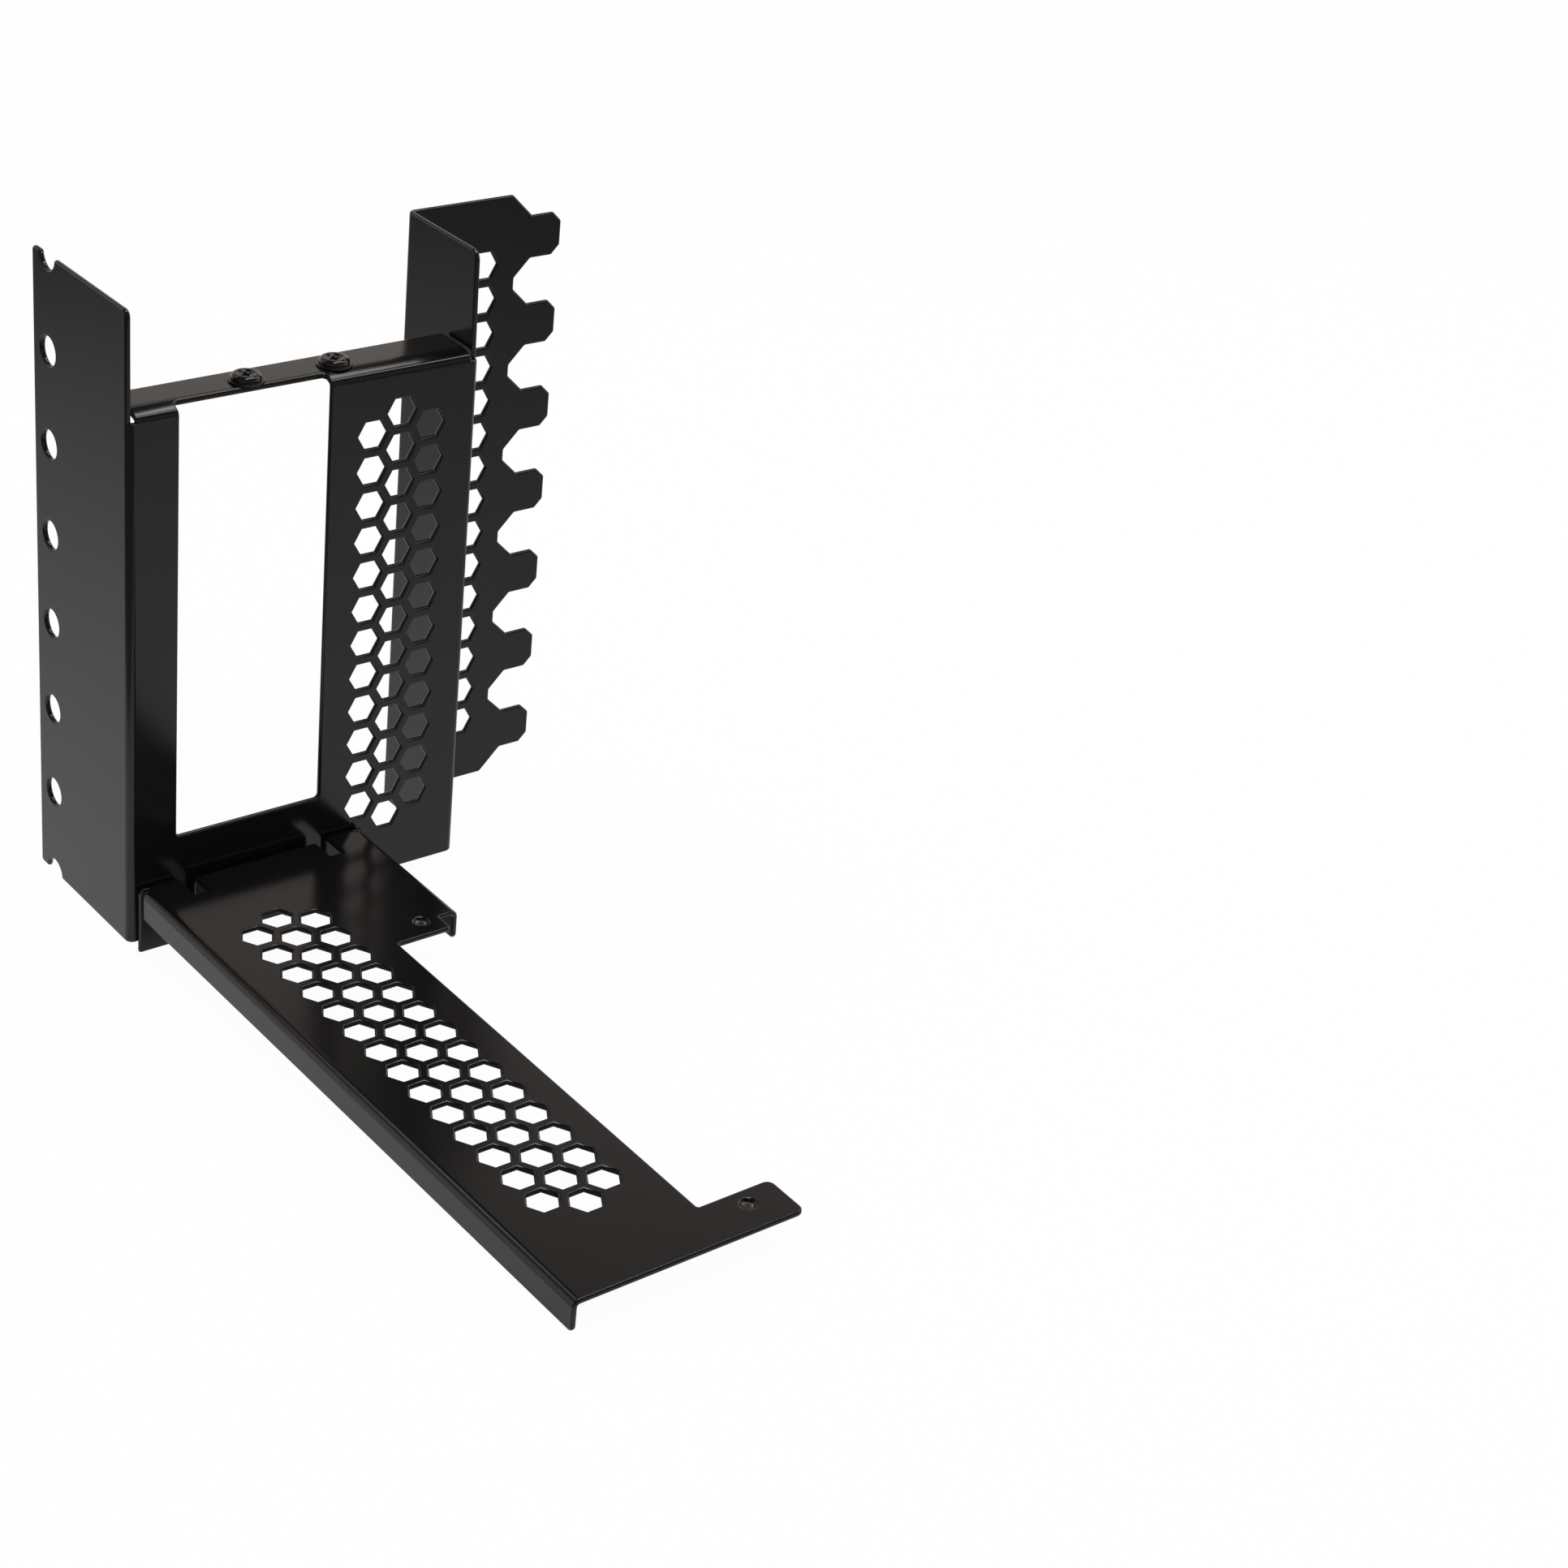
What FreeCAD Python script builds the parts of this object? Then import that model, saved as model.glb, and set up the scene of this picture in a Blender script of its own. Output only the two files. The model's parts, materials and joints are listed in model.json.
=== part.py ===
"""Bracket that carries a graphics card upright in a computer case.

A folded sheet frame fills the case's expansion slots, and a folded shelf in front of it carries
the riser board that the card plugs into. Two pan-head screws hold the card's brackets.

Sizes are in millimetres. The drawing runs from the outer face of the case-screw flange (X), the
front face of the main plate (Y, positive to the back) and the frame's lower edge (Z). The solids
are written about the middle of the row of case screws.
"""
import os
from math import pi, radians, sin, sqrt, tan

import FreeCAD, Part
from FreeCAD import Vector

# Sheet and folds
sheet = 1.2
bend_inside = 0.5
bend_outside = bend_inside + sheet
fold_gap = 0.7             # slit between two folds that meet at a corner

# Expansion slots of the case
slot_pitch = 20.32
slot_count = 7
case_hole_diameter = 6.1
case_hole_setback = 5.1    # behind the tongue plate's rear face
flange_setback = 11.4      # flange's rear edge, behind the same face
bracket_length = 119.5     # flange's outer face to the tongue tips

# Frame
frame_width = 81.3
return_depth = 28.4        # main plate's front face to the tongue plate's rear face
flange_ear = 0.9           # flange's front edge above the main plate, inside its bend
flange_corner = 1.6
return_corner = 2.2
ear_corner = 0.9

# Tongues that hook into the case
tongue_height = 9.75
tongue_length = 7.6
tongue_chamfer = 2.1
tongue_corner = 0.7
valley_floor = 2.6

# Seat for the card's brackets
card_seat = 121.1
card_flange_depth = 11.6
seat_flat = 4.4            # flat of the seat starts this far behind the main plate's front face
seat_bend = 1.5            # outside radius of the bend below it
seat_roll = 8.0            # outside radius of the gentle roll between the bend and the flat
seat_roll_angle = radians(23)
window_left = 11.3
window_width = 34.3
window_sill = 23.4
window_corner = 0.9
window_bite = 2.9          # how far the window's head runs back into the card flange

# Card screws
screw_first = 29.3
screw_setback = 5.9
screw_diameter = 3.5
screw_reach = 1.6          # shank below the head
screw_head_diameter = 6.4
screw_head_height = 1.7
screw_head_crown = 1.0
washer_diameter = 7.5      # washer face under the head
washer_thickness = 0.45
dish_diameter = 3.9        # shallow dish around the cross recess
dish_depth = 0.4
dish_slope = 0.6
recess_width = 0.7
recess_span = 2.2
recess_depth = 0.7         # below the dish
thread_clearance = 0.05

# Honeycomb
cell_width = 5.9           # across flats
cell_web = 2.1
cell_pitch = cell_width + cell_web
cell_corner_reach = cell_width / sqrt(3)
cell_column_pitch = cell_pitch * sqrt(3) / 2
plate_cell_columns = 3
plate_cell_foot = 11.6     # lowest cell edge
plate_cell_head = 7.0      # least sheet above the top cell
rear_cell_columns = 2
rear_cell_side = 4.65      # sheet between the cells and the valley floors
rear_cell_end = 10.0       # least sheet above and below the cells
shelf_cell_columns = 3
shelf_cell_side = 8.85     # from the side flange's outer face
shelf_cell_back = 21.6     # from the main plate
shelf_cell_front = 20.0    # least sheet in front of the cells

# Riser shelf
shelf_top = 13.8
shelf_left = 2.0
arm_right = 37.9
side_flange_height = 7.0
side_flange_corner = 1.1
back_tab_height = 16.0
lip_right = 55.8
lip_length = 40.3          # main plate to the lip's front end
front_pad_right = 54.9
back_pad_right = 50.9
pad_corner = 1.8
inner_corner = 0.5
outer_corner = 0.8

# Slot for the card's tongues, between the main plate and the shelf's middle tab
tongue_slot = 1.3
notch_width = 3.1
notch_depth = 8.2
notch_first = 11.2
notch_second = 43.9

# Tapped riser holes
riser_hole_x = 46.6
riser_hole_setback = 40.3
riser_hole_pitch = 112.7
riser_hole_diameter = 2.5
riser_lead = 0.6           # countersink at the mouth
collar_wall = 0.95
collar_height = 1.3
back_pad_land = 4.9        # riser hole to the back pad's front edge
front_pad_back = 4.1       # front riser hole to the front pad's back edge
front_pad_land = 7.0       # front riser hole to the shelf's front edge

# Places that follow from the sizes
frame_height = slot_count * slot_pitch
case_hole_y = return_depth + case_hole_setback
flange_end = return_depth + flange_setback
window_right = window_left + window_width
seat_bend_angle = pi / 2 - seat_roll_angle
roll_y = seat_flat - seat_roll * tan(seat_roll_angle / 2)
bend_z = card_seat - roll_y * tan(seat_roll_angle)
head = bend_z - seat_bend * tan(seat_bend_angle / 2)    # main plate's upper bend line
shelf_under = shelf_top - sheet
front_hole_setback = riser_hole_setback + riser_hole_pitch
shelf_front = -(front_hole_setback + front_pad_land)
origin = Vector(0, case_hole_y, frame_height / 2)
past = 5.0                 # how far a cutter runs past the sheet
near = 1e-4


def outline(corners):
    """Closed wire through the corners, a (point, radius) pair each."""
    entries, middles, exits = [], [], []
    for index, (point, radius) in enumerate(corners):
        before = (corners[index - 1][0] - point).normalize()
        after = (corners[(index + 1) % len(corners)][0] - point).normalize()
        half_angle = before.getAngle(after) / 2
        reach = radius / tan(half_angle)
        entries.append(point + before * reach)
        exits.append(point + after * reach)
        middles.append(point + (before + after).normalize() * (radius / sin(half_angle) - radius))
    edges = []
    for index, (point, radius) in enumerate(corners):
        if radius:
            edges.append(Part.Arc(entries[index], middles[index], exits[index]).toShape())
        following = entries[(index + 1) % len(corners)]
        if exits[index].distanceToPoint(following) > near:
            edges.append(Part.LineSegment(exits[index], following).toShape())
    return Part.Wire(edges)


def panel(corners, thickness):
    """Solid of a rounded outline, thickened along a vector."""
    return Part.Face(outline(corners)).extrude(thickness)


def fold(start, outward, normal, along, height):
    """Bend and flange on a sheet edge.

    start is the bend's first point on the outer face, outward leaves the sheet, normal is the
    outer face's, and along is the length of the fold.
    """
    def at(out, down):
        return start + outward * out - normal * down

    section = [
        (at(0, 0), 0),
        (at(bend_outside, 0), bend_outside),
        (at(bend_outside, height), 0),
        (at(bend_inside, height), 0),
        (at(bend_inside, sheet), bend_inside),
        (at(0, sheet), 0),
    ]
    return panel(section, along)


def edges_at(shape, **place):
    """Edges whose ends lie at the given x, y or z."""
    return [
        edge for edge in shape.Edges
        if len(edge.Vertexes) == 2
        and all(abs(getattr(end.Point, axis) - value) < near
                for end in edge.Vertexes for axis, value in place.items())
    ]


def cell(centre, row, column, thickness):
    """Hexagon cutter with two flats across the row."""
    half_flat = row * (cell_width / 2)
    half_side = column * (cell_corner_reach / 2)
    reach = column * cell_corner_reach
    corners = [centre + reach, centre + half_side + half_flat, centre - half_side + half_flat,
               centre - reach, centre - half_side - half_flat, centre + half_side - half_flat]
    return panel([(corner, 0) for corner in corners], thickness)


def honeycomb(first, row, column, thickness, columns, rows, first_is_long):
    """Staggered cell cutters. Long columns start at first, short ones half a pitch further."""
    cells = []
    for index in range(columns):
        is_long = (index % 2 == 0) == first_is_long
        shift = 0 if is_long else cell_pitch / 2
        for step in range(rows if is_long else rows - 1):
            centre = first + column * (index * cell_column_pitch) + row * (shift + step * cell_pitch)
            cells.append(cell(centre, row, column, thickness))
    return Part.makeCompound(cells)


def cells_that_fit(length):
    return int((length + cell_web) // cell_pitch)


def folded_strip():
    """Flange, main plate, return and tongue plate as one folded section, at full height."""
    return_inner = frame_width - sheet
    section = [
        (Vector(0, flange_end, 0), 0),
        (Vector(0, 0, 0), bend_outside),
        (Vector(frame_width, 0, 0), bend_outside),
        (Vector(frame_width, return_depth - sheet, 0), bend_inside),
        (Vector(bracket_length, return_depth - sheet, 0), 0),
        (Vector(bracket_length, return_depth, 0), 0),
        (Vector(return_inner, return_depth, 0), bend_outside),
        (Vector(return_inner, sheet, 0), bend_inside),
        (Vector(sheet, sheet, 0), bend_inside),
        (Vector(sheet, flange_end, 0), 0),
    ]
    return panel(section, Vector(0, 0, frame_height))


def card_flange():
    """Flange along the main plate's head, folded back between the case flange and the return."""
    left = sheet + fold_gap
    right = frame_width - sheet - fold_gap
    under = card_seat - sheet
    section = [
        (0, head, 0),
        (0, bend_z, seat_bend),
        (roll_y, card_seat, seat_roll),
        (card_flange_depth, card_seat, 0),
        (card_flange_depth, under, 0),
        (roll_y + sheet * tan(seat_roll_angle / 2), under, seat_roll - sheet),
        (sheet, bend_z - sheet * tan(seat_bend_angle / 2), seat_bend - sheet),
        (sheet, head, 0),
    ]
    corners = [(Vector(left, y, z), radius) for y, z, radius in section]
    return panel(corners, Vector(right - left, 0, 0))


def plate_head_cutter():
    """Clears the main plate above the card flange. The case flange keeps part of its bend."""
    height = frame_height - head + past
    plate = Part.makeBox(frame_width - sheet + past, past + bend_outside, height, Vector(sheet, -past, head))
    flange = Part.makeBox(sheet + past, past + flange_ear, height, Vector(-past, -past, head))
    return plate.fuse(flange)


def window_cutter():
    """Window in the main plate, and its head in the card flange."""
    top = card_seat + past
    in_plate = [
        (Vector(window_left, -past, window_sill), window_corner),
        (Vector(window_right, -past, window_sill), window_corner),
        (Vector(window_right, -past, top), 0),
        (Vector(window_left, -past, top), 0),
    ]
    in_flange = [
        (Vector(window_left, -past, card_seat - past), 0),
        (Vector(window_right, -past, card_seat - past), 0),
        (Vector(window_right, window_bite, card_seat - past), window_corner),
        (Vector(window_left, window_bite, card_seat - past), window_corner),
    ]
    plate_part = panel(in_plate, Vector(0, past + sheet, 0))
    return plate_part.fuse(panel(in_flange, Vector(0, 0, 2 * past)))


def case_hole_cutters():
    """Screw holes of the case flange. The first and last are half notches in its ends."""
    holes = []
    for index in range(slot_count + 1):
        foot = Vector(-past, case_hole_y, index * slot_pitch)
        holes.append(Part.makeCylinder(case_hole_diameter / 2, 2 * past + sheet, foot, Vector(1, 0, 0)))
    return Part.makeCompound(holes)


def valley_cutter(middle, floor_height):
    """Gap between two tongues, with the chamfers of their tips. It runs to the tongues' middles."""
    half_gap = (slot_pitch - tongue_height) / 2
    half_floor = floor_height / 2
    root = bracket_length - tongue_length
    floor = root - (half_gap - half_floor)
    upper = [
        (floor, half_floor, tongue_corner if floor_height else 0),
        (root, half_gap, tongue_corner),
        (bracket_length - tongue_chamfer, half_gap, tongue_corner),
        (bracket_length, half_gap + tongue_chamfer, tongue_corner),
        (bracket_length, slot_pitch / 2, 0),
        (bracket_length + past, slot_pitch / 2, 0),
    ]
    lower = [(x, -z, radius) for x, z, radius in reversed(upper) if z]
    front = return_depth - sheet - past
    corners = [(Vector(x, front, middle + z), radius) for x, z, radius in upper + lower]
    return panel(corners, Vector(0, sheet + 2 * past, 0))


def valley_cutters():
    """One gap at each slot boundary. The end ones run out into the plate's top and bottom edges."""
    valleys = []
    for index in range(slot_count + 1):
        at_end = index in (0, slot_count)
        valleys.append(valley_cutter(index * slot_pitch, 0 if at_end else valley_floor))
    return Part.makeCompound(valleys)


def plate_cells():
    """Honeycomb in the middle of the strip between the window and the return."""
    middle = (window_right + frame_width - sheet) / 2
    left = middle - cell_column_pitch * (plate_cell_columns - 1) / 2
    rows = cells_that_fit(card_seat - plate_cell_head - plate_cell_foot)
    first = Vector(left, -past, plate_cell_foot + cell_width / 2)
    return honeycomb(first, Vector(0, 0, 1), Vector(1, 0, 0), Vector(0, 2 * past, 0),
                     plate_cell_columns, rows, first_is_long=False)


def rear_cells():
    """Honeycomb in the tongue plate, centred on its height."""
    half_gap = (slot_pitch - tongue_height) / 2
    floor = bracket_length - tongue_length - (half_gap - valley_floor / 2)
    rows = cells_that_fit(frame_height - 2 * rear_cell_end)
    low = frame_height / 2 - cell_pitch * (rows - 1) / 2
    first = Vector(floor - rear_cell_side - cell_corner_reach, return_depth - past, low)
    return honeycomb(first, Vector(0, 0, 1), Vector(-1, 0, 0), Vector(0, 2 * past, 0),
                     rear_cell_columns, rows, first_is_long=True)


def screw_places():
    return [Vector(screw_first + index * slot_pitch, screw_setback, card_seat) for index in range(2)]


def screw_hole_cutters():
    radius = screw_diameter / 2 + thread_clearance
    depth = Vector(0, 0, sheet + past)
    return Part.makeCompound([
        Part.makeCylinder(radius, sheet + 2 * past, place - depth) for place in screw_places()
    ])


def make_frame():
    frame = folded_strip().cut(plate_head_cutter()).fuse(card_flange())
    cutters = [window_cutter(), case_hole_cutters(), valley_cutters(),
               plate_cells(), rear_cells(), screw_hole_cutters()]
    for cutter in cutters:
        frame = frame.cut(cutter)
    frame = frame.removeSplitter()
    frame = frame.makeFillet(flange_corner, edges_at(frame, y=flange_ear, z=frame_height))
    frame = frame.makeFillet(return_corner, edges_at(frame, y=bend_outside, z=frame_height))
    for end in (0, frame_height):
        frame = frame.makeFillet(ear_corner, edges_at(frame, y=flange_end, z=end))
    return frame


def shelf_sheet():
    """Flat of the shelf, up to its bend lines."""
    left = shelf_left + bend_outside
    lip_bend = lip_right - bend_outside
    back = -bend_outside
    middle_back = -(tongue_slot + bend_outside)
    back_pad_front = -(riser_hole_setback + back_pad_land)
    front_pad_rear = -(front_hole_setback - front_pad_back)
    plan = [
        (left, back, 0),
        (left, shelf_front, 0),
        (front_pad_right, shelf_front, pad_corner),
        (front_pad_right, front_pad_rear, pad_corner),
        (arm_right, front_pad_rear, inner_corner),
        (arm_right, back_pad_front, inner_corner),
        (back_pad_right, back_pad_front, outer_corner),
        (back_pad_right, -lip_length, inner_corner),
        (lip_bend, -lip_length, 0),
        (lip_bend, back, 0),
        (notch_second + notch_width, back, 0),
        (notch_second + notch_width, -notch_depth, 0),
        (notch_second, -notch_depth, 0),
        (notch_second, middle_back, 0),
        (notch_first + notch_width, middle_back, 0),
        (notch_first + notch_width, -notch_depth, 0),
        (notch_first, -notch_depth, 0),
        (notch_first, back, 0),
    ]
    corners = [(Vector(x, y, shelf_under), radius) for x, y, radius in plan]
    return panel(corners, Vector(0, 0, sheet))


def shelf_side_flange():
    back = -(bend_outside + fold_gap)
    start = Vector(shelf_left + bend_outside, shelf_front, shelf_top)
    along = Vector(0, back - shelf_front, 0)
    flange = fold(start, Vector(-1, 0, 0), Vector(0, 0, 1), along, side_flange_height)
    foot = shelf_top - side_flange_height
    ends = edges_at(flange, y=shelf_front, z=foot) + edges_at(flange, y=back, z=foot)
    return flange.makeFillet(side_flange_corner, ends)


def shelf_lip():
    back = -(bend_outside + fold_gap)
    start = Vector(lip_right - bend_outside, -lip_length, shelf_top)
    along = Vector(0, back + lip_length, 0)
    lip = fold(start, Vector(1, 0, 0), Vector(0, 0, 1), along, side_flange_height)
    foot = shelf_top - side_flange_height
    return lip.makeFillet(side_flange_corner, edges_at(lip, y=-lip_length, z=foot))


def shelf_back_tabs():
    """Two tabs that lie on the main plate, and a middle one that stands off it."""
    spans = [
        (shelf_left, notch_first, 0),
        (notch_first + notch_width, notch_second, tongue_slot),
        (notch_second + notch_width, lip_right, 0),
    ]
    tabs = []
    for left, right, standoff in spans:
        start = Vector(left, -(standoff + bend_outside), shelf_top)
        along = Vector(right - left, 0, 0)
        tabs.append(fold(start, Vector(0, 1, 0), Vector(0, 0, 1), along, back_tab_height))
    return tabs


def riser_hole_places():
    return [Vector(riser_hole_x, -setback, 0) for setback in (riser_hole_setback, front_hole_setback)]


def shelf_cells():
    """Honeycomb along the arm."""
    rows = cells_that_fit(-shelf_front - shelf_cell_back - shelf_cell_front)
    left = shelf_left + shelf_cell_side + cell_corner_reach
    first = Vector(left, -(shelf_cell_back + cell_width / 2), shelf_under - past)
    return honeycomb(first, Vector(0, -1, 0), Vector(1, 0, 0), Vector(0, 0, 2 * past + sheet),
                     shelf_cell_columns, rows, first_is_long=False)


def make_shelf():
    radius = riser_hole_diameter / 2
    collars, bores = [], []
    for place in riser_hole_places():
        foot = place + Vector(0, 0, shelf_under - collar_height)
        collars.append(Part.makeCylinder(radius + collar_wall, collar_height, foot))
        bores.append(Part.makeCylinder(radius, collar_height + sheet, foot))
    pieces = [shelf_side_flange(), shelf_lip()] + shelf_back_tabs() + collars
    shelf = shelf_sheet().multiFuse(pieces)
    shelf = shelf.cut(shelf_cells()).cut(Part.makeCompound(bores)).removeSplitter()
    mouths = [
        edge for edge in shelf.Edges
        if isinstance(edge.Curve, Part.Circle)
        and abs(edge.Curve.Radius - radius) < near
        and abs(edge.Curve.Center.z - shelf_top) < near
    ]
    return shelf.makeChamfer(riser_lead, mouths)


def make_screw(place):
    """Pan-head screw with a washer face and a cross recess. Its washer seats at place."""
    shank = screw_diameter / 2
    side = screw_head_diameter / 2
    washer = washer_diameter / 2
    dish = dish_diameter / 2
    dish_floor = screw_head_height - dish_depth
    profile = [
        (0, dish_floor, 0),
        (dish - dish_slope, dish_floor, 0),
        (dish, screw_head_height, 0),
        (side, screw_head_height, screw_head_crown),
        (side, washer_thickness, 0),
        (washer, washer_thickness, 0),
        (washer, 0, 0),
        (shank, 0, 0),
        (shank, -screw_reach, 0),
        (0, -screw_reach, 0),
    ]
    half = Part.Face(outline([(Vector(x, 0, z), radius) for x, z, radius in profile]))
    screw = half.revolve(Vector(0, 0, 0), Vector(0, 0, 1), 360)
    floor = dish_floor - recess_depth
    for span, width in ((recess_span, recess_width), (recess_width, recess_span)):
        corner = Vector(-span / 2, -width / 2, floor)
        screw = screw.cut(Part.makeBox(span, width, recess_depth + past, corner))
    screw.translate(place)
    return screw


def main():
    nodes = {
        "frame": make_frame(),
        "riser_shelf": make_shelf(),
        "card_screws": Part.makeCompound([make_screw(place) for place in screw_places()]),
    }
    os.makedirs("parts", exist_ok=True)
    for name, shape in nodes.items():
        shape.translate(-origin)
        shape.exportStep(f"parts/{name}.step")
        volumes = [round(solid.Volume, 1) for solid in shape.Solids]
        print(name, "valid", shape.isValid(), "solids", volumes)


main()
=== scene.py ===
import json
import math

import bmesh
import bpy
from mathutils import Matrix, Vector


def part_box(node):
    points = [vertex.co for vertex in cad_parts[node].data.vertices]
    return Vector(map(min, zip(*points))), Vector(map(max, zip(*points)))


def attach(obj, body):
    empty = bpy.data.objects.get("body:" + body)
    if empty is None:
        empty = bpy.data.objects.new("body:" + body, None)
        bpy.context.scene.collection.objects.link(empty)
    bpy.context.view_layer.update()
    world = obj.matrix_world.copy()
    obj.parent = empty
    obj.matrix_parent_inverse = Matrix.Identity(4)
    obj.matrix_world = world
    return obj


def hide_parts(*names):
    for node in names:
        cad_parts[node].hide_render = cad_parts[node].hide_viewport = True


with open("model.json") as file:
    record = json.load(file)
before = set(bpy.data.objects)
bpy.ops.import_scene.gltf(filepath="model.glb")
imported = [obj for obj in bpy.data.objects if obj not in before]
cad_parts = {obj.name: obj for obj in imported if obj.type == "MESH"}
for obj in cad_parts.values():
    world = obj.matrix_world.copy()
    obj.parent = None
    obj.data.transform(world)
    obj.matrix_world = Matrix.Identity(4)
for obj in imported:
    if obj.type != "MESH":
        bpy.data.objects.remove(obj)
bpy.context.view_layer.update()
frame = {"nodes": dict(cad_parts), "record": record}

mm = 0.001
mountPlaces = {mount["name"]: Vector(mount["pos_m"]) for mount in frame["record"]["mounts"]}
print("frame loaded:", sorted(frame["nodes"]))


# steps of a node tree, for the finishes, the floor and the world
def vectorStep(nodes, links, operation, vector, other=(0.0, 0.0, 0.0)):
    step = nodes.new("ShaderNodeVectorMath")
    step.operation = operation
    links.new(vector, step.inputs[0])
    step.inputs[1].default_value = other
    return step


def mathStep(nodes, links, operation, first, second):
    step = nodes.new("ShaderNodeMath")
    step.operation = operation
    links.new(first, step.inputs[0])
    links.new(second, step.inputs[1])
    return step.outputs[0]


def levelStep(nodes, links, value, span, ends, blend):
    step = nodes.new("ShaderNodeMapRange")
    step.interpolation_type = blend
    step.inputs["From Min"].default_value, step.inputs["From Max"].default_value = span
    step.inputs["To Min"].default_value, step.inputs["To Max"].default_value = ends
    links.new(value, step.inputs["Value"])
    return step.outputs["Result"]


# powder coat of the two folded sheets
coatLook = {
    "colour": (0.0045, 0.0045, 0.0046, 1.0),
    "roughness": (0.16, 0.20),      # smooth and dull patches
    "patchScale": 38.0,             # patches a few centimetres wide
    "specular": 0.5,
    "peelScale": 700.0,             # orange peel, about 1.4 mm
    "peelDepth": 0.003 * mm,
    "grainScale": 5200.0,           # fine grain of the powder
    "grainDepth": 0.0008 * mm,
}


# zinc-black screws, a little glossier than the sheets
zincLook = {
    "colour": (0.008, 0.008, 0.0085, 1.0),
    "roughness": (0.06, 0.12),
    "patchScale": 900.0,
    "specular": 0.5,
    "peelScale": 2600.0,
    "peelDepth": 0.001 * mm,
    "grainScale": 9000.0,
    "grainDepth": 0.0005 * mm,
}


# noise shared by both finishes
coatNoise = {
    "patchDetail": 3.0,
    "patchSpan": (0.3, 0.7),        # noise levels of the smoothest and the dullest patch
    "layerDetail": 1.0,
}


def makeCoat(name, look):
    material = bpy.data.materials.new(name)
    material.use_nodes = True
    nodes = material.node_tree.nodes
    links = material.node_tree.links
    shader = nodes["Principled BSDF"]
    shader.inputs["Base Color"].default_value = look["colour"]
    shader.inputs["Specular IOR Level"].default_value = look["specular"]
    coords = nodes.new("ShaderNodeTexCoord")
    patches = nodes.new("ShaderNodeTexNoise")
    patches.inputs["Scale"].default_value = look["patchScale"]
    patches.inputs["Detail"].default_value = coatNoise["patchDetail"]
    links.new(coords.outputs["Object"], patches.inputs["Vector"])
    dullness = levelStep(nodes, links, patches.outputs["Fac"], coatNoise["patchSpan"],
                         look["roughness"], "LINEAR")
    links.new(dullness, shader.inputs["Roughness"])
    previous = None
    for layer in ("peel", "grain"):
        noise = nodes.new("ShaderNodeTexNoise")
        noise.inputs["Scale"].default_value = look[layer + "Scale"]
        noise.inputs["Detail"].default_value = coatNoise["layerDetail"]
        links.new(coords.outputs["Object"], noise.inputs["Vector"])
        bump = nodes.new("ShaderNodeBump")
        bump.inputs["Distance"].default_value = look[layer + "Depth"]
        links.new(noise.outputs["Fac"], bump.inputs["Height"])
        if previous:
            links.new(previous.outputs["Normal"], bump.inputs["Normal"])
        previous = bump
    links.new(previous.outputs["Normal"], shader.inputs["Normal"])
    return material


powderCoat = makeCoat("satinBlackPowderCoat", coatLook)
blackZinc = makeCoat("blackZincPlate", zincLook)
print("materials made")


def addPiece(name, mesh, material):
    piece = bpy.data.objects.new(name, mesh)
    bpy.context.scene.collection.objects.link(piece)
    mesh.materials.clear()
    mesh.materials.append(material)
    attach(piece, "root")
    return piece


# rolled edges: the coat draws back from a cut edge and rounds it
rolledEdges = {
    "merge": 0.002 * mm,
    "flatWithin": math.radians(0.05),
    "sharpFrom": math.radians(28.0),
    "radius": 0.52 * mm,
    "segments": 5,
    "flatWeight": 100,
    "fineReach": 3.2 * mm,      # around thin rims and the slit at the head's left corner
    "fineRadius": 0.2 * mm,
    "slitInset": (1.5 * mm, 1.0 * mm),
    "slitDrop": 1.5 * mm,
}
frameLow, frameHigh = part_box("frame")
insetX, insetY = rolledEdges["slitInset"]
slitHeight = mountPlaces["card_seat"].z - rolledEdges["slitDrop"]
cornerSlit = Vector((frameLow.x + insetX, frameLow.y + insetY, slitHeight))
fineSpots = (mountPlaces["riser_screw_back"], mountPlaces["riser_screw_front"], cornerSlit)


def nearFineSpot(edge, reach):
    return any((edge.verts[0].co - spot).length < reach for spot in fineSpots)


def roundedCopy(nodeName, pieceName, material, edges):
    bm = bmesh.new()
    bm.from_mesh(frame["nodes"][nodeName].data)
    bmesh.ops.remove_doubles(bm, verts=bm.verts, dist=edges["merge"])
    bmesh.ops.dissolve_limit(bm, angle_limit=edges["flatWithin"], verts=bm.verts, edges=bm.edges,
                             use_dissolve_boundaries=False)
    sharp = [edge for edge in bm.edges if edge.is_convex and edge.calc_face_angle() > edges["sharpFrom"]]
    fine = [edge for edge in sharp if nearFineSpot(edge, edges["fineReach"])]
    coarse = [edge for edge in sharp if edge not in fine]
    for group, radius in ((coarse, edges["radius"]), (fine, edges["fineRadius"])):
        standing = [edge for edge in group if edge.is_valid]      # the first round takes some away
        bmesh.ops.bevel(bm, geom=standing, offset=radius, offset_type="OFFSET", affect="EDGES",
                        segments=edges["segments"], profile=0.5, material=-1, loop_slide=False)
    for face in bm.faces:
        face.smooth = True
    for edge in bm.edges:
        edge.smooth = edge.is_convex or edge.calc_face_angle() < edges["sharpFrom"]
    mesh = bpy.data.meshes.new(pieceName)
    bm.to_mesh(mesh)
    bm.free()
    piece = addPiece(pieceName, mesh, material)
    weigh = piece.modifiers.new("flatFacesFirst", "WEIGHTED_NORMAL")
    weigh.mode = "FACE_AREA"
    weigh.weight = edges["flatWeight"]
    weigh.keep_sharp = True
    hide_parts(nodeName)
    print(pieceName, len(mesh.polygons), "faces")


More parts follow.
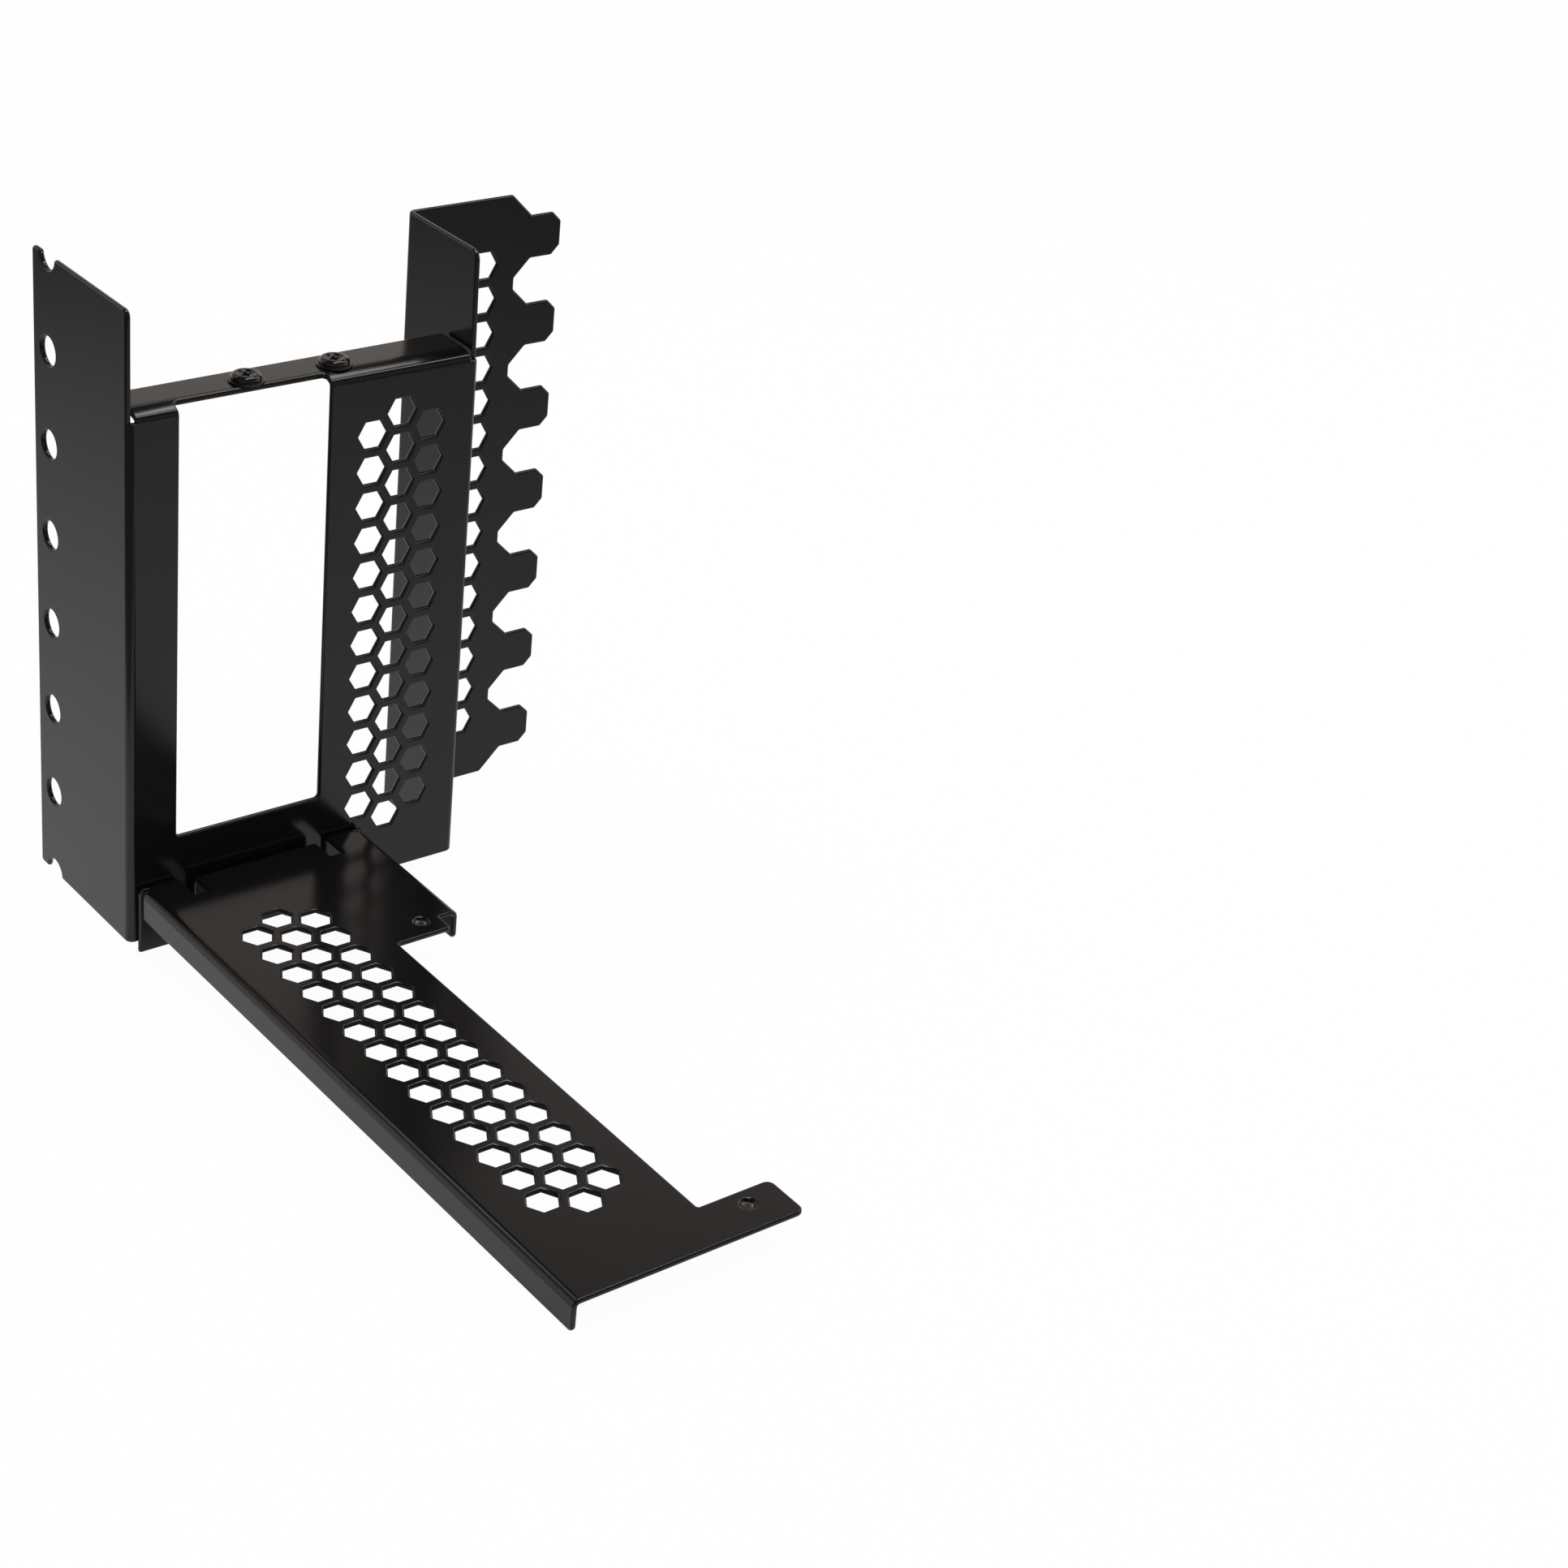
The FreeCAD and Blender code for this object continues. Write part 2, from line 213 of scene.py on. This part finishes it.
roundedCopy("frame", "folded_frame", powderCoat, rolledEdges)
roundedCopy("riser_shelf", "folded_shelf", powderCoat, rolledEdges)
screwEdges = {**rolledEdges, "radius": 0.10 * mm, "segments": 2, "sharpFrom": math.radians(35.0)}
roundedCopy("card_screws", "pan_head_screws", blackZinc, screwEdges)


# threads of the two riser holes, tapped after coating, so bare steel shows
tappedThread = {
    "holes": ("riser_screw_back", "riser_screw_front"),
    "root": 1.28 * mm,          # just inside the hole's wall
    "crest": 1.08 * mm,
    "pitch": 0.5 * mm,
    "turns": 3.4,
    "stepsPerTurn": 32,
    "colour": (0.56, 0.55, 0.53, 1.0),
    "roughness": 0.28,
}


def makeSteel():
    material = bpy.data.materials.new("cutSteel")
    material.use_nodes = True
    shader = material.node_tree.nodes["Principled BSDF"]
    shader.inputs["Base Color"].default_value = tappedThread["colour"]
    shader.inputs["Metallic"].default_value = 1.0
    shader.inputs["Roughness"].default_value = tappedThread["roughness"]
    return material


def makeThreads():
    pitch = tappedThread["pitch"]
    turns = tappedThread["turns"]
    root, crest = tappedThread["root"], tappedThread["crest"]
    ridge = ((root, 0.0), (crest, pitch / 2), (root, pitch))
    rise = pitch / tappedThread["stepsPerTurn"]
    steps = round(turns * tappedThread["stepsPerTurn"])
    bm = bmesh.new()
    for hole in tappedThread["holes"]:
        middle = mountPlaces[hole]
        foot = middle - Vector((0, 0, pitch * (turns + 1) / 2))
        corners = [bm.verts.new(foot + Vector((reach, 0, height))) for reach, height in ridge]
        start = bm.faces.new(corners)
        bmesh.ops.spin(bm, geom=[start], cent=middle, axis=(0, 0, 1), angle=2 * math.pi * turns,
                       dvec=(0, 0, rise), steps=steps, use_merge=False)
    bmesh.ops.recalc_face_normals(bm, faces=bm.faces)
    mesh = bpy.data.meshes.new("riser_threads")
    bm.to_mesh(mesh)
    bm.free()
    piece = bpy.data.objects.new("riser_threads", mesh)
    bpy.context.scene.collection.objects.link(piece)
    mesh.materials.append(makeSteel())
    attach(piece, "root")
    print("riser_threads", len(mesh.polygons), "faces")


makeThreads()


# floor: the plane that the part comes to rest on, under its back tabs and the front of its arm
floorSheet = {
    "size": 6.0,
    "backTabs": (-0.6 * mm, 0.0),        # behind the shelf's back edge, above its foot
    "armFront": (0.0, 9.0 * mm),
    "colour": (0.86, 0.86, 0.86, 1.0),
    "white": 0.97,                       # how much of the floor is plain white to the camera
    "poolMiddle": (-0.06, -0.06, 0.0),   # painted pool of light on the floor's glow around the part, as surfaces mirror it
    "poolSpan": (0.0, 0.60),
    "poolBrightness": (0.77, 0.0),
    "rearWay": (0.8, 0.6, 0.0),          # painted light: the floor's glow stays light behind the part
    "rearSpan": (0.10, 0.28),
    "rearBrightness": (0.0, 0.65),
    "dimWay": (-0.9, -0.43, 0.0),        # painted shade on the floor's glow towards the front left, the dark side of the studio
    "dimSpan": (0.085, 0.13),
    "dimShare": (1.0, 0.2),
    "shadeMiddle": (0.025, -0.11, 0.0),  # painted shadow under the arm, in the floor's glow
    "shadeReach": (0.023, 0.075, 1.0),
    "shadeSpan": (0.85, 1.1),
    "shadeShare": (0.25, 1.0),
}


def makeFloor():
    low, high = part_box("riser_shelf")
    back = Vector((0, high.y + floorSheet["backTabs"][0], low.z + floorSheet["backTabs"][1]))
    front = Vector((0, low.y + floorSheet["armFront"][0], low.z + floorSheet["armFront"][1]))
    slope = math.atan2(front.z - back.z, back.y - front.y)
    bm = bmesh.new()
    bmesh.ops.create_grid(bm, x_segments=1, y_segments=1, size=floorSheet["size"] / 2)
    bmesh.ops.rotate(bm, verts=bm.verts, matrix=Matrix.Rotation(-slope, 3, "X"))
    bmesh.ops.translate(bm, verts=bm.verts, vec=(front + back) / 2)
    mesh = bpy.data.meshes.new("floor")
    bm.to_mesh(mesh)
    bm.free()
    floor = bpy.data.objects.new("floor", mesh)
    bpy.context.scene.collection.objects.link(floor)
    print("floor slopes", round(math.degrees(slope), 2), "degrees")
    return floor


def seenDirectly(nodes, links):
    # 1 for rays from the camera, from a mirror-like surface or through glass
    path = nodes.new("ShaderNodeLightPath").outputs
    either = mathStep(nodes, links, "MAXIMUM", path["Is Camera Ray"], path["Is Glossy Ray"])
    return mathStep(nodes, links, "MAXIMUM", either, path["Is Transmission Ray"])


def paintedFloorGlow(nodes, links):
    # brightness of the floor in reflections, with light and shade painted in: a painted pool of light,
    # painted shade on the dark side and a painted shadow under the arm
    coords = nodes.new("ShaderNodeTexCoord")
    flat = vectorStep(nodes, links, "MULTIPLY", coords.outputs["Object"], (1.0, 1.0, 0.0))
    away = vectorStep(nodes, links, "DISTANCE", flat.outputs["Vector"], floorSheet["poolMiddle"])
    rearwards = vectorStep(nodes, links, "DOT_PRODUCT", flat.outputs["Vector"], floorSheet["rearWay"])
    towards = vectorStep(nodes, links, "DOT_PRODUCT", flat.outputs["Vector"], floorSheet["dimWay"])
    aside = vectorStep(nodes, links, "SUBTRACT", flat.outputs["Vector"], floorSheet["shadeMiddle"])
    share = vectorStep(nodes, links, "DIVIDE", aside.outputs["Vector"], floorSheet["shadeReach"])
    size = vectorStep(nodes, links, "ABSOLUTE", share.outputs["Vector"])
    split = nodes.new("ShaderNodeSeparateXYZ")
    links.new(size.outputs["Vector"], split.inputs["Vector"])
    larger = mathStep(nodes, links, "MAXIMUM", split.outputs["X"], split.outputs["Y"])
    pool = levelStep(nodes, links, away.outputs["Value"], floorSheet["poolSpan"],
                     floorSheet["poolBrightness"], "LINEAR")
    rear = levelStep(nodes, links, rearwards.outputs["Value"], floorSheet["rearSpan"],
                     floorSheet["rearBrightness"], "SMOOTHSTEP")
    light = mathStep(nodes, links, "MAXIMUM", pool, rear)
    dim = levelStep(nodes, links, towards.outputs["Value"], floorSheet["dimSpan"],
                    floorSheet["dimShare"], "SMOOTHSTEP")
    shade = levelStep(nodes, links, larger, floorSheet["shadeSpan"],
                      floorSheet["shadeShare"], "SMOOTHSTEP")
    return mathStep(nodes, links, "MULTIPLY", mathStep(nodes, links, "MULTIPLY", light, dim), shade)


def paintFloor(floor):
    material = bpy.data.materials.new("paleFloor")
    material.use_nodes = True
    nodes = material.node_tree.nodes
    links = material.node_tree.links
    nodes.clear()
    output = nodes.new("ShaderNodeOutputMaterial")
    matte = nodes.new("ShaderNodeBsdfDiffuse")
    matte.inputs["Color"].default_value = floorSheet["colour"]
    white = nodes.new("ShaderNodeEmission")
    brightness = nodes.new("ShaderNodeMapRange")
    path = nodes.new("ShaderNodeLightPath")
    links.new(path.outputs["Is Camera Ray"], brightness.inputs["Value"])
    # mirrors see the floor's glow with its painted pool of light and painted shade, the camera sees it
    # plain white
    links.new(paintedFloorGlow(nodes, links), brightness.inputs["To Min"])
    links.new(brightness.outputs["Result"], white.inputs["Strength"])
    share = nodes.new("ShaderNodeMath")
    share.operation = "MULTIPLY"
    share.inputs[1].default_value = floorSheet["white"]
    links.new(seenDirectly(nodes, links), share.inputs[0])
    mix = nodes.new("ShaderNodeMixShader")
    links.new(share.outputs[0], mix.inputs[0])
    links.new(matte.outputs[0], mix.inputs[1])
    links.new(white.outputs[0], mix.inputs[2])
    links.new(mix.outputs[0], output.inputs["Surface"])
    floor.data.materials.append(material)


floor = makeFloor()
paintFloor(floor)


# white backdrop behind the part, under a dark ceiling, and a dim studio in front
studioWorld = {
    "ambient": 0.65,
    "white": 0.987,                      # what the camera sees past the floor
    # height and brightness, from the foot of the backdrop to the ceiling
    "backdrop": ((0.15, 1.0), (0.40, 0.62), (0.62, 0.40), (0.65, 0.05), (0.74, 0.01)),
    "backdropTint": (1.0, 0.90, 0.84, 1.0),     # a little warm where surfaces mirror it
    "backWay": (0.5, 0.8, 0.0),
    "frontSpan": (-0.4, 0.1),
    "frontShare": 0.3,
}


def makeWorld():
    world = bpy.data.worlds.new("studio")
    bpy.context.scene.world = world
    world.use_nodes = True
    nodes = world.node_tree.nodes
    links = world.node_tree.links
    background = nodes["Background"]
    coords = nodes.new("ShaderNodeTexCoord")
    split = nodes.new("ShaderNodeSeparateXYZ")
    links.new(coords.outputs["Generated"], split.inputs["Vector"])
    backdrop = nodes.new("ShaderNodeValToRGB")
    stops = backdrop.color_ramp.elements
    while len(stops) < len(studioWorld["backdrop"]):
        stops.new(1.0)
    for stop, (height, level) in zip(stops, studioWorld["backdrop"]):
        stop.position = height
        stop.color = (level, level, level, 1.0)
    links.new(split.outputs["Z"], backdrop.inputs["Fac"])
    behind = vectorStep(nodes, links, "DOT_PRODUCT", coords.outputs["Generated"], studioWorld["backWay"])
    front = levelStep(nodes, links, behind.outputs["Value"], studioWorld["frontSpan"],
                      (studioWorld["frontShare"], 1.0), "LINEAR")
    mirrored = mathStep(nodes, links, "MULTIPLY", backdrop.outputs["Color"], front)
    path = nodes.new("ShaderNodeLightPath")
    plain = levelStep(nodes, links, path.outputs["Is Camera Ray"], (0.0, 1.0),
                      (0.0, studioWorld["white"]), "LINEAR")
    shown = mathStep(nodes, links, "MAXIMUM", mirrored, plain)
    tint = nodes.new("ShaderNodeMix")
    tint.data_type = "RGBA"
    tint.inputs[6].default_value = studioWorld["backdropTint"]      # colours A and B of the mix
    tint.inputs[7].default_value = (1.0, 1.0, 1.0, 1.0)
    links.new(path.outputs["Is Camera Ray"], tint.inputs[0])
    links.new(tint.outputs[2], background.inputs["Color"])
    strength = nodes.new("ShaderNodeMapRange")
    strength.inputs["To Min"].default_value = studioWorld["ambient"]
    links.new(seenDirectly(nodes, links), strength.inputs["Value"])
    links.new(shown, strength.inputs["To Max"])
    links.new(strength.outputs["Result"], background.inputs["Strength"])


makeWorld()


# a strip light over the part, one in front that picks out the rims, and a weak one behind
softBoxes = {
    "key": {"place": (0.257, 0.062, 1.026), "aim": (0.03, -0.033, 0.048),
            "along": (0.68, 0.60, -0.43), "size": (0.95, 0.16), "watts": 2.4},
    "front": {"place": (0.325, -0.15, 0.775), "aim": (0.03, -0.033, 0.048),
              "along": (0.884, 0.308, -0.346), "size": (1.3, 0.12), "watts": 2.6},
    "back": {"place": (-0.12, 0.60, 0.80), "aim": (0.0, -0.15, -0.06),
             "along": (1.0, 0.0, 0.0), "size": (0.4, 0.25), "watts": 0.4},
}


def makeSoftBox(name, box):
    data = bpy.data.lights.new(name, "AREA")
    data.shape = "RECTANGLE"
    data.size, data.size_y = box["size"]
    data.energy = box["watts"]
    lamp = bpy.data.objects.new(name, data)
    bpy.context.scene.collection.objects.link(lamp)
    lamp.visible_camera = False
    place = Vector(box["place"])
    back = (place - Vector(box["aim"])).normalized()
    along = Vector(box["along"])
    along = (along - back * along.dot(back)).normalized()
    turn = Matrix((along, back.cross(along), back)).transposed()
    lamp.matrix_world = Matrix.Translation(place) @ turn.to_4x4()


for boxName, box in softBoxes.items():
    makeSoftBox(boxName, box)
print("studio lit")


# camera where the part is seen from the left, a little above
viewpoint = {
    "place": (-0.27182, -0.54435, 0.29990),
    "azimuth": -41.393,
    "elevation": 29.171,
    "roll": 6.543,
    "lens": 72.97,
    "sensor": 36.0,
    "nearest": 0.01,
}


def makeCamera():
    data = bpy.data.cameras.new("camera")
    data.lens = viewpoint["lens"]
    data.sensor_width = viewpoint["sensor"]
    data.clip_start = viewpoint["nearest"]
    camera = bpy.data.objects.new("camera", data)
    bpy.context.scene.collection.objects.link(camera)
    turn = Matrix.Rotation(math.radians(viewpoint["azimuth"]), 4, "Z")
    tip = Matrix.Rotation(math.radians(90.0 - viewpoint["elevation"]), 4, "X")
    roll = Matrix.Rotation(math.radians(viewpoint["roll"]), 4, "Z")
    camera.matrix_world = Matrix.Translation(viewpoint["place"]) @ turn @ tip @ roll
    bpy.context.scene.camera = camera


makeCamera()
bpy.context.scene.view_settings.view_transform = "Standard"
